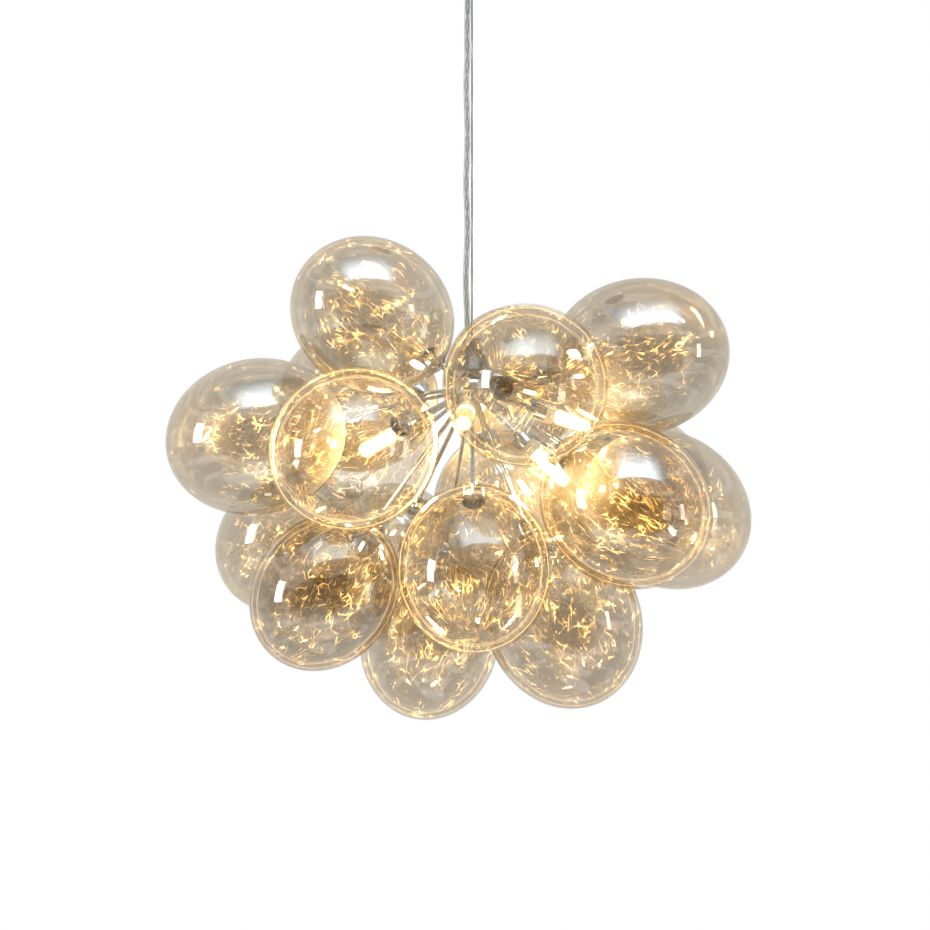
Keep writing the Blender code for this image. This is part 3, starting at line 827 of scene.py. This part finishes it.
def clear_cable():
    """A clear jacket with two bare cores that wind slowly round each other."""
    offset = WIRE_DIAMETER / 2 + CABLE_DIAMETER / 2 + CABLE_TO_WIRE
    top = pivot_height - CABLE_TOP_DROP
    bottom = cable_low.z
    points = []
    for share, aside, back in CABLE_ROUTE:
        points.append(Vector((-offset + aside, back, top + (bottom - top) * share)))
    route = smooth_through(points, CABLE_DIAMETER / 2)
    cable = tube("clear_cable", [route], CABLE_DIAMETER, jacket, 6)
    cores = []
    for half in (0.0, 0.5):
        core = []
        for point in route:
            angle = math.tau * (half + (top - point.z) / CORE_LAY)
            core.append(point + around(angle, CORE_SPREAD))
        cores.append(core)
    bare = tube("cable_cores", cores, CORE_DIAMETER, tinned, 2)
    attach(bare, "drop")
    hand_over(cable, "drop", "power_cable")
    path_length(route)


def mark_grain(globe, length):
    """Gives each point its turn round the globe's axis and its height along it,
    which the ripples in the glass follow."""
    grain = globe.data.attributes.new("grain", "FLOAT_VECTOR", "POINT")
    for vertex, mark in zip(globe.data.vertices, grain.data):
        side = Vector((vertex.co.x, vertex.co.y, 0)).normalized()
        mark.vector = (side.x, side.y, vertex.co.z / length)


def mark_share(globe, name, share):
    """Gives a whole globe one value, which its glass reads by name."""
    marks = globe.data.attributes.new(name, "FLOAT", "POINT")
    for point in marks.data:
        point.value = share


def blown_glass(size):
    """One globe with its neck, centred on its own middle, neck down."""
    width = GLOBE_WIDTH * size / 2
    length = GLOBE_LENGTH * size / 2
    neck = NECK_DIAMETER / 2
    shoulder = -length * math.sqrt(1 - (neck / width)**2)
    bpy.ops.mesh.primitive_uv_sphere_add(
        segments=GLOBE_SEGMENTS, ring_count=GLOBE_RINGS, radius=1,
    )
    globe = named("blown_glass")
    bpy.ops.object.mode_set(mode="EDIT")
    bpy.ops.mesh.select_all(action="SELECT")
    bpy.ops.transform.resize(value=(width, width, length), center_override=(0, 0, 0))
    bpy.ops.mesh.bisect(plane_co=(0, 0, shoulder), plane_no=(0, 0, 1), clear_inner=True)
    pick_vertices(globe, lambda number, spot: spot.z < shoulder + SAME_PLACE)
    for fall, share in NECK_STEPS:
        bpy.ops.mesh.extrude_edges_move(TRANSFORM_OT_translate={"value": (0, 0, -fall)})
        bpy.ops.transform.resize(value=(share, share, 1), center_override=(0, 0, 0))
    leave_edit()
    mark_grain(globe, length)
    globe.data.materials.append(coat)
    globe.data.materials.append(ripple)
    modify(
        globe, "SOLIDIFY", thickness=GLASS_WALL, offset=-1.0, use_even_offset=True,
        material_offset=1,
    )
    smooth(globe, GLASS_CREASE_ANGLE)
    return globe, length, shoulder


def rod_end(spigot_diameter, rod_diameter):
    """The hub's end of a rod: a spigot in its bore, then a collar on the ball."""
    spigot = spigot_diameter / 2
    rod = rod_diameter / 2
    seat = hub_radius + CLEARANCE
    return [
        (spigot, hub_radius - HUB_BORE_DEPTH + CLEARANCE),
        (spigot, seat),
        (rod + COLLAR_WIDER, seat),
        (rod + COLLAR_WIDER, seat + COLLAR_LENGTH),
        (rod, seat + COLLAR_LENGTH + COLLAR_WIDER),
    ]


def cup_wall(outer, bore, back, floor, lip, rolled):
    """A cup from the slant round its back, over its rolled lip, to its floor."""
    points = [(outer - CUP_BACK_SLANT, back), (outer, back + CUP_BACK_SLANT)]
    points += [(outer + out, lip - down) for out, down in rolled]
    return points + [(bore, lip), (bore, floor)]


def globe_arm(name, shoulder):
    """A rod with a spigot for the hub and a rolled cap that holds the neck."""
    bore = NECK_DIAMETER / 2 + CLEARANCE
    outer = bore + NECK_CAP_WALL
    lip = shoulder - 2 * CLEARANCE
    floor = shoulder - NECK_LENGTH - CLEARANCE
    back = floor - NECK_CAP_BACK
    rod = ROD_DIAMETER / 2
    cone = [
        (rod, back - NECK_CAP_CONE),
        (rod * 1.5, back - NECK_CAP_CONE * 0.72),
        (outer * 0.62, back - NECK_CAP_CONE * 0.24),
    ]
    outline = rod_end(SPIGOT_DIAMETER, ROD_DIAMETER) + cone
    outline += cup_wall(outer, bore, back, floor, lip, NECK_CAP_LIP)
    arm = turned(name, outline, ROD_SIDES, chrome)
    soften(arm, ARM_EDGE)
    return arm


def glass_and_arms():
    masters = {}
    for size in sorted({1.0, *SIZE_SHARES.values()}):
        masters[size] = blown_glass(size)
    for number in range(1, GLOBE_COUNT + 1):
        master, length, shoulder = masters[SIZE_SHARES.get(number, 1.0)]
        far = far_point(f"globe_{number:02d}")
        reach = far.length - length
        direction = far.normalized()
        lit = PAINTED_LAMP_LIGHT_SHARES.get(number, 0.0)
        globe = master.copy()
        globe.data = master.data.copy()
        globe.name = f"glass_{number:02d}"
        # This globe's share of painted lamp light and of painted shade
        mark_share(globe, "lit", lit)
        mark_share(globe, "dense", PAINTED_SHADE_SHARES.get(number, 0.0))
        # Globes with the most painted lamp light get the lighter, clearer copies of the glass, painted
        # light
        if lit > CLEAR_FROM:
            globe.data.materials[0] = lamp_lit_coat
            globe.data.materials[1] = lamp_lit_ripple
        bpy.context.scene.collection.objects.link(globe)
        set_along(globe, direction, hub_centre + direction * reach)
        hand_over(globe, "head", f"globe_{number:02d}")
        arm = globe_arm(f"rod_{number:02d}", reach + shoulder)
        set_along(arm, direction)
        hand_over(arm, "head", f"arm_{number:02d}")
    for made in masters.values():
        bpy.data.objects.remove(made[0])


def hub():
    """The ball, with the neck on its top that the cap sits on."""
    bpy.ops.mesh.primitive_uv_sphere_add(
        segments=HUB_SEGMENTS, ring_count=HUB_RINGS, radius=hub_radius,
    )
    ball = named("hub")
    neck = HUB_NECK_DIAMETER / 2
    cut = math.sqrt(hub_radius**2 - neck**2)
    top = hub_radius + HUB_NECK_HEIGHT
    bpy.ops.object.mode_set(mode="EDIT")
    bpy.ops.mesh.select_all(action="SELECT")
    bpy.ops.mesh.bisect(plane_co=(0, 0, cut), plane_no=(0, 0, 1), clear_outer=True)
    pick_vertices(ball, lambda number, spot: spot.z > cut - SAME_PLACE)
    bpy.ops.mesh.extrude_edges_move(TRANSFORM_OT_translate={"value": (0, 0, top - cut)})
    bpy.ops.mesh.edge_face_add()
    leave_edit()
    # The hub gets the brighter copy of the chrome, painted light
    ball.data.materials.append(hub_lit_chrome)
    soften(ball, PLATE_EDGE)
    ball.location = hub_centre
    select_only(ball)
    bpy.ops.object.transform_apply(location=True)
    hand_over(ball, "head", "hub_ball")


def sunk_screw(name, radius, ends, direction, centre, finish):
    """A small screw with a socket sunk in its head."""
    low, high = ends
    screw = turned(name, [(radius, low), (radius, high)], SCREW_SIDES, finish)
    edit(screw)
    pick_faces(screw, lambda middle, normal: middle.z > high - MERGE_DISTANCE)
    bpy.ops.mesh.inset(thickness=radius * SCREW_RIM_SHARE)
    bpy.ops.mesh.inset(
        thickness=radius * SCREW_TAPER_SHARE, depth=(low - high) * SCREW_DEPTH_SHARE,
    )
    leave_edit()
    soften(screw, radius * SCREW_EDGE_SHARE)
    set_along(screw, Vector(direction), centre)
    return screw


def turned_wire_ball():
    """The ball on the wire's top, bored for the wire."""
    ball = WIRE_BALL_DIAMETER / 2
    bore = WIRE_BALL_BORE / 2
    top = math.degrees(math.acos(bore / ball))
    low = math.degrees(math.acos(WIRE_BALL_MOUTH / 2 / ball))
    outline = arc(0, pivot_height, ball, top, -low, WIRE_BALL_STEPS) + [(bore, pivot_height)]
    piece = turned("turned_wire_ball", outline, BALL_SIDES, steel, closed=True)
    soften(piece, 0)
    hand_over(piece, "wire_ball", "wire_ball")


def conical_cap():
    """The cap on the hub, which hangs on the ferrule.  Gives the height of its web."""
    cable_reach = WIRE_DIAMETER / 2 + CABLE_TO_WIRE + CABLE_DIAMETER
    opening = cable_reach + 2 * CLEARANCE
    collar = opening + CAP_RIM
    wire_hole = WIRE_DIAMETER / 2 + CLEARANCE + CABLE_TO_WIRE
    chamber = FERRULE_DIAMETER / 2 + CAP_RIM
    neck_bore = HUB_NECK_DIAMETER / 2 + CLEARANCE
    neck_top = hub_height + hub_radius + HUB_NECK_HEIGHT
    bottom = hub_height + hub_radius + CLEARANCE
    top = bottom + CAP_HEIGHT
    web_top = top - CAP_OPENING_DEPTH
    web_bottom = web_top - CAP_WEB
    base = CAP_BASE_DIAMETER / 2
    outline = [
        (opening, top),
        (collar, top),
        (collar, top - CAP_BEAD_HEIGHT),
        (collar - CAP_BEAD_OUT, top - CAP_BEAD_HEIGHT - CAP_BEAD_OUT),
        (collar - CAP_BEAD_OUT, web_top),
        (base - CAP_SKIRT_IN, bottom + CAP_RIM + CAP_SKIRT_UP),
        (base, bottom + CAP_RIM),
        (base, bottom),
        (neck_bore, bottom),
        (neck_bore, neck_top + CLEARANCE),
        (chamber, neck_top + CLEARANCE),
        (chamber, web_bottom),
        (wire_hole, web_bottom),
        (wire_hole, web_top),
        (opening, web_top),
    ]
    cap = turned("conical_cap", outline, CAP_SIDES, dark_chrome, closed=True)
    soften(cap, FINE_EDGE)
    hand_over(cap, "head", "top_cap")

    ends = (opening + GRUB_START, opening + GRUB_END)
    centre = Vector((0, 0, web_top + (top - web_top) * GRUB_HEIGHT_SHARE))
    screw = sunk_screw("cap_grub_screw", GRUB_RADIUS, ends, GRUB_DIRECTION, centre, steel)
    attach(screw, "head")
    return web_bottom


def turned_ferrule(web_bottom):
    """The ferrule on the wire's lower end, under the cap's web."""
    outer = FERRULE_DIAMETER / 2
    bore = WIRE_DIAMETER / 2 + CLEARANCE
    high = web_bottom - CLEARANCE
    low = high - FERRULE_LENGTH
    outline = [(bore, low + FERRULE_WALL_BELOW), (bore, high), (outer, high), (outer, low)]
    ferrule = turned("turned_ferrule", outline, SOCKET_SIDES, steel)
    soften(ferrule, FINE_EDGE)
    hand_over(ferrule, "drop", "wire_ferrule")


def drawn_ceiling_cup():
    """The cup over the bracket.  Gives the height of its bottom."""
    shank_hole = SHANK_DIAMETER / 2 + CLEARANCE
    rim = -CLEARANCE
    bottom = rim - CUP_HEIGHT
    outer = CUP_DIAMETER / 2
    corner = (outer - CUP_CORNER, bottom + CUP_CORNER)
    outline = [(outer - CUP_WALL, rim), (outer, rim)]
    outline += arc(*corner, CUP_CORNER, 0, -90, CUP_CORNER_STEPS)
    outline += [(shank_hole, bottom), (shank_hole, bottom + CUP_WALL)]
    outline += arc(*corner, CUP_CORNER - CUP_WALL, -90, 0, CUP_CORNER_STEPS)
    cup = turned("drawn_ceiling_cup", outline, CUP_SIDES, chrome, closed=True)
    soften(cup, PLATE_EDGE)
    hand_over(cup, "ceiling", "ceiling_cup")
    return bottom


def is_knurl_groove(spot, radius):
    place = round(math.atan2(spot.y, spot.x) / math.tau * RING_SIDES)
    return spot.xy.length > radius - SAME_PLACE and place % KNURL_EVERY == 0


def knurled_ring_nut(cup_bottom):
    """The nut that holds the cup up.  Gives the height under which the grip sits."""
    shank_hole = SHANK_DIAMETER / 2 + CLEARANCE
    top = cup_bottom - CLEARANCE
    low = top - RING_HEIGHT
    radius = RING_DIAMETER / 2
    outline = [
        (shank_hole, top),
        (radius - RING_EDGE, top),
        (radius, top - RING_EDGE),
        (radius, low + RING_EDGE),
        (radius - RING_EDGE, low),
        (shank_hole, low),
    ]
    nut = turned("knurled_ring_nut", outline, RING_SIDES, chrome, closed=True)
    edit(nut)
    pick_vertices(nut, lambda number, spot: is_knurl_groove(spot, radius))
    bpy.ops.transform.resize(value=(KNURL_SHARE, KNURL_SHARE, 1), center_override=(0, 0, 0))
    leave_edit()
    soften(nut, 0)
    hand_over(nut, "ceiling", "cup_ring_nut")
    return low - CLEARANCE


def flared_cord_grip(top):
    """The nipple that carries the wire's ball, with its flared mouth."""
    boss_bottom = -BRACKET_THICKNESS - BOSS_HEIGHT
    shank_top = boss_bottom + BOSS_BORE_DEPTH - CLEARANCE
    shank = SHANK_DIAMETER / 2
    bore = SHANK_BORE / 2
    ball = WIRE_BALL_DIAMETER / 2
    seat_hole = WIRE_BALL_MOUTH / 2 + CLEARANCE
    seat_drop = math.sqrt(ball**2 - seat_hole**2)
    seat_low = pivot_height - seat_drop - SEAT_THICKNESS
    mouth_height = top - GRIP_DEPTH
    sine = math.sin(SWING_LIMIT)
    cosine = math.cos(SWING_LIMIT)
    reach = WIRE_DIAMETER / 2 + CABLE_TO_WIRE + CABLE_DIAMETER
    cavity = reach * cosine + CABLE_TOP_DROP * sine + CLEARANCE
    along = (pivot_height - mouth_height + reach * sine) / cosine
    mouth = reach * cosine + along * sine + CLEARANCE
    outline = [
        (bore, shank_top),
        (shank, shank_top),
        (shank, top),
        (GRIP_TOP_DIAMETER / 2, top),
        (cavity + GRIP_MOUTH_WALL, seat_low + SEAT_THICKNESS),
        (mouth + GRIP_MOUTH_WALL, mouth_height),
        (mouth, mouth_height),
        (cavity, seat_low),
        (seat_hole, seat_low),
        (seat_hole, pivot_height - seat_drop - CLEARANCE),
        (bore, pivot_height - seat_drop + SEAT_THICKNESS),
    ]
    grip = turned("flared_cord_grip", outline, CAP_SIDES, chrome, closed=True)
    soften(grip, FINE_EDGE)
    hand_over(grip, "ceiling", "cord_grip")


def terminal_screw(number, middle, side):
    place = middle + Vector((0, side * BLOCK_WIDTH / 4, 0))
    head = BLOCK_HEIGHT / 2
    ends = (head - TERMINAL_SCREW_SUNK, head + TERMINAL_SCREW_PROUD)
    name = f"terminal_screw_{number}"
    screw = sunk_screw(name, TERMINAL_SCREW_RADIUS, ends, (0, 0, -1), place, brass)
    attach(screw, "ceiling")


def terminal_poles():
    """Three moulded poles, each with a wire entry at both ends and two brass screws."""
    left = BOSS_DIAMETER / 2 + BLOCK_BOSS_GAP
    top = -BRACKET_THICKNESS - CLEARANCE
    width = BLOCK_LENGTH / BLOCK_POLES
    for number in range(BLOCK_POLES):
        middle = Vector((left + width * (number + 0.5), 0, top - BLOCK_HEIGHT / 2))
        bpy.ops.mesh.primitive_cube_add(size=1, location=middle)
        pole = named(f"terminal_pole_{number + 1}")
        pole.scale = (width - POLE_GAP, BLOCK_WIDTH, BLOCK_HEIGHT)
        bpy.ops.object.transform_apply(location=True, scale=True)
        edit(pole)
        pick_faces(pole, lambda spot, normal: abs(normal.y) > 0.9)
        bpy.ops.mesh.inset(thickness=WIRE_ENTRY_RIM, use_individual=True)
        bpy.ops.mesh.inset(
            thickness=WIRE_ENTRY_TAPER, depth=-WIRE_ENTRY_DEPTH, use_individual=True,
        )
        leave_edit()
        pole.data.materials.append(plastic)
        soften(pole, POLE_EDGE)
        hand_over(pole, "ceiling", "terminal_block")
        terminal_screw(number * 2 + 1, middle, -1)
        terminal_screw(number * 2 + 2, middle, 1)


def lamp_cup_outline():
    bore = SOCKET_DIAMETER / 2 + CLEARANCE
    outer = bore + LAMP_CUP_WALL
    back = LAMP_REACH - LAMP_CUP_BACK
    lip = LAMP_REACH + LAMP_CUP_DEPTH
    cone = [
        (LAMP_ROD_DIAMETER / 2, back - LAMP_CUP_CONE),
        (outer * 0.55, back - LAMP_CUP_CONE * 0.35),
    ]
    outline = rod_end(LAMP_SPIGOT_DIAMETER, LAMP_ROD_DIAMETER) + cone
    return outline + cup_wall(outer, bore, back, LAMP_REACH, lip, LAMP_CUP_LIP)


def socket_outline(low, high):
    radius = SOCKET_DIAMETER / 2
    well = BULB_BASE_DIAMETER / 2 + CLEARANCE
    return [
        (radius, low),
        (radius, high - SOCKET_EDGE),
        (radius - SOCKET_EDGE, high),
        (well + SOCKET_MOUTH_EDGE, high),
        (well, high - SOCKET_MOUTH_EDGE),
        (well, high - BULB_BASE_DEPTH),
    ]


def bulb_outline(low):
    body = low + BULB_BASE_DEPTH + BULB_BASE_STEP
    tip = body + BULB_LENGTH
    radius = BULB_DIAMETER / 2
    base = BULB_BASE_DIAMETER / 2
    outline = [(base, low), (base, body), (radius, body + BULB_BASE_STEP)]
    return outline + arc(0, tip - radius, radius, 0, BULB_TIP_ANGLE, BULB_TIP_STEPS)


def lamps():
    """Each lamp's cup on its rod, its socket in the cup and its bulb in the socket."""
    low = LAMP_REACH + CLEARANCE
    high = low + SOCKET_LENGTH
    cup_points = lamp_cup_outline()
    socket_points = socket_outline(low, high)
    bulb_points = bulb_outline(high - BULB_BASE_DEPTH + CLEARANCE)
    for number in range(1, LAMP_COUNT + 1):
        direction = far_point(f"bulb_{number}").normalized()
        cup = turned(f"socket_cup_{number}", cup_points, ROD_SIDES, chrome)
        soften(cup, FINE_EDGE)
        set_along(cup, direction)
        hand_over(cup, "head", f"lamp_cup_{number}")
        socket = turned(f"ceramic_socket_{number}", socket_points, SOCKET_SIDES, ceramic)
        soften(socket, PLATE_EDGE)
        set_along(socket, direction)
        hand_over(socket, "head", f"lamp_socket_{number}")
        lamp = turned(f"capsule_bulb_{number}", bulb_points, ROD_SIDES, lamp_glass)
        soften(lamp, BULB_EDGE)
        set_along(lamp, direction)
        hand_over(lamp, f"bulb_{number}", f"bulb_{number}")


def from_camera(azimuth, elevation):
    """A direction from the hub: azimuth 0 is towards the camera, 90 to its right."""
    turn = math.radians(azimuth)
    lift = math.radians(elevation)
    level = math.cos(lift)
    return Vector((math.sin(turn) * level, -math.cos(turn) * level, math.sin(lift)))


def hide_from_view(card):
    card.visible_camera = False
    card.visible_transmission = False
    card.visible_shadow = False


def studio_card(name, place, distance, size):
    """A flat card at a distance from the hub that faces it."""
    spot = hub_centre + from_camera(*place) * distance
    bpy.ops.mesh.primitive_plane_add(size=1, location=spot)
    card = named(name)
    card.scale = (*size, 1)
    card.rotation_euler = (spot - hub_centre).to_track_quat("Z", "Y").to_euler()
    hide_from_view(card)
    return card


def soft_box():
    """The large light overhead, brightest along its front edge."""
    card = studio_card("softbox", SOFTBOX_PLACE, SOFTBOX_DISTANCE, SOFTBOX_SIZE)
    finish = Finish("softbox")
    across, along = finish.split(finish.place())[:2]
    side = finish.fade(finish.absolute(across), 0.5, 0.24)
    front = finish.fade(along, 0.5, -0.32) * finish.fade(along, -0.5, -0.43)
    shine = 0.60 + side * front * 2.6
    card.data.materials.append(finish.out(finish.glow(SOFTBOX_COLOUR, shine)))


def studio_dome():
    """What the shine shows: grey beige walls with pale bands, and the dark room
    behind the camera."""
    bpy.ops.mesh.primitive_uv_sphere_add(
        segments=DOME_SEGMENTS, ring_count=DOME_RINGS, radius=DOME_RADIUS, location=hub_centre,
    )
    dome = named("studio_dome")
    hide_from_view(dome)
    dome.visible_diffuse = False
    finish = Finish("studio dome")
    spot = finish.place((1 / DOME_RADIUS,) * 3)
    side, back, height = finish.split(spot)
    clutter = finish.noise(spot, 3.2, 3.0, 0.6)
    wide = (side / 0.80)**2.0 + (height / 0.52)**2.0
    room = finish.fade(wide + (clutter - 0.5) * 1.8, 1.5, 0.4) * finish.fade(back, 0.1, -0.3)
    walls = finish.blend(finish.fade(back, -0.2, 0.7), WALL_FRONT, WALL_BACK)
    bands = finish.noise(finish.stretch(spot, (1.3, 1.3, 7.0)), 1.0, 1.0)
    walls = finish.blend(finish.fade(bands, 0.48, 0.62) * 0.55, walls, WHITE)
    shade = finish.blend(room, walls, DARK_ROOM)
    dome.data.materials.append(finish.out(finish.glow(shade, 1.0)))


def seen_ray(finish):
    """1 for the rays that show a background: camera, glossy and transmission."""
    path = finish.node("ShaderNodeLightPath").socket.node.outputs
    kinds = [Value(finish, path[f"Is {kind} Ray"]) for kind in ("Camera", "Glossy", "Transmission")]
    return kinds[0] + kinds[1] + kinds[2]


def studio():
    """The lights, the floor and a world that is white where it is seen."""
    soft_box()
    studio_dome()
    for name, place, size, colour, strength in WINDOWS:
        card = studio_card(name, place, WINDOW_DISTANCE, size)
        finish = Finish(name)
        card.data.materials.append(finish.out(finish.glow(colour, strength)))

    bpy.ops.mesh.primitive_plane_add(size=FLOOR_SIZE, location=(0, 0, FLOOR_HEIGHT))
    floor = named("floor")
    finish = Finish("floor")
    pale = finish.surface(FLOOR_COLOUR, roughness=0.8)
    shader = finish.mixed(seen_ray(finish), pale, finish.glow(WHITE, 1.0))
    floor.data.materials.append(finish.out(shader))
    floor.visible_glossy = False

    world = bpy.data.worlds.new("studio")
    world.use_nodes = True
    bpy.context.scene.world = world
    sky = Finish("studio", world.node_tree)
    bright = sky.node("ShaderNodeBackground", {}, {"Color": (*WHITE, 1.0), "Strength": 1.0})
    soft = sky.node("ShaderNodeBackground", {}, {"Color": SKY_COLOUR, "Strength": SKY_STRENGTH})
    output = sky.tree.nodes.new("ShaderNodeOutputWorld")
    shader = sky.mixed(seen_ray(sky), soft, bright)
    sky.tree.links.new(shader.socket, output.inputs["Surface"])


coat = champagne_coat("champagne coat", tint=(0.838, 0.808, 0.748), mirrored=0.16)
ripple = rippled_wall("rippled wall", tint=(0.92, 0.895, 0.845), mirrored=0.21)
# Lighter, clearer copies of the glass for the globes drawn as lit by the lamps: painted light
lamp_lit_coat = champagne_coat("thin champagne coat", tint=(0.94, 0.915, 0.86), mirrored=0.06)
lamp_lit_ripple = rippled_wall("thin rippled wall", tint=(0.955, 0.932, 0.895), mirrored=0.10)
chrome = polished_metal("chrome", colour=(0.66, 0.66, 0.65), roughness=0.06)
# A brighter copy of the chrome for the hub: painted light, so the ball shows silver through the glass
hub_lit_chrome = polished_metal("bright chrome", colour=(0.93, 0.94, 0.96), roughness=0.03)
dark_chrome = polished_metal("dark chrome", colour=(0.16, 0.155, 0.15), roughness=0.14)
steel = polished_metal("steel", colour=(0.66, 0.67, 0.67), roughness=0.24, wear=0.12)
brass = polished_metal("brass", colour=(0.82, 0.66, 0.36), roughness=0.22, wear=0.12)
tinned = polished_metal("tinned copper", colour=(0.62, 0.63, 0.60), roughness=0.30, wear=0.10)
zinc = zinc_plate()
jacket = clear_jacket()
ceramic = glazed_ceramic()
plastic = moulded_plastic()
lamp_glass = lit_glass()

set_camera()
steel_wire()
clear_cable()
glass_and_arms()
hub()
lamps()
turned_wire_ball()
turned_ferrule(conical_cap())
flared_cord_grip(knurled_ring_nut(drawn_ceiling_cup()))
terminal_poles()
studio()
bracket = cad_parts["ceiling_bracket"]
bracket.data.materials.clear()
bracket.data.materials.append(zinc)

scene = bpy.context.scene
scene.view_settings.view_transform = "Standard"
scene.cycles.transparent_max_bounces = GLASS_WALLS_SEEN_THROUGH
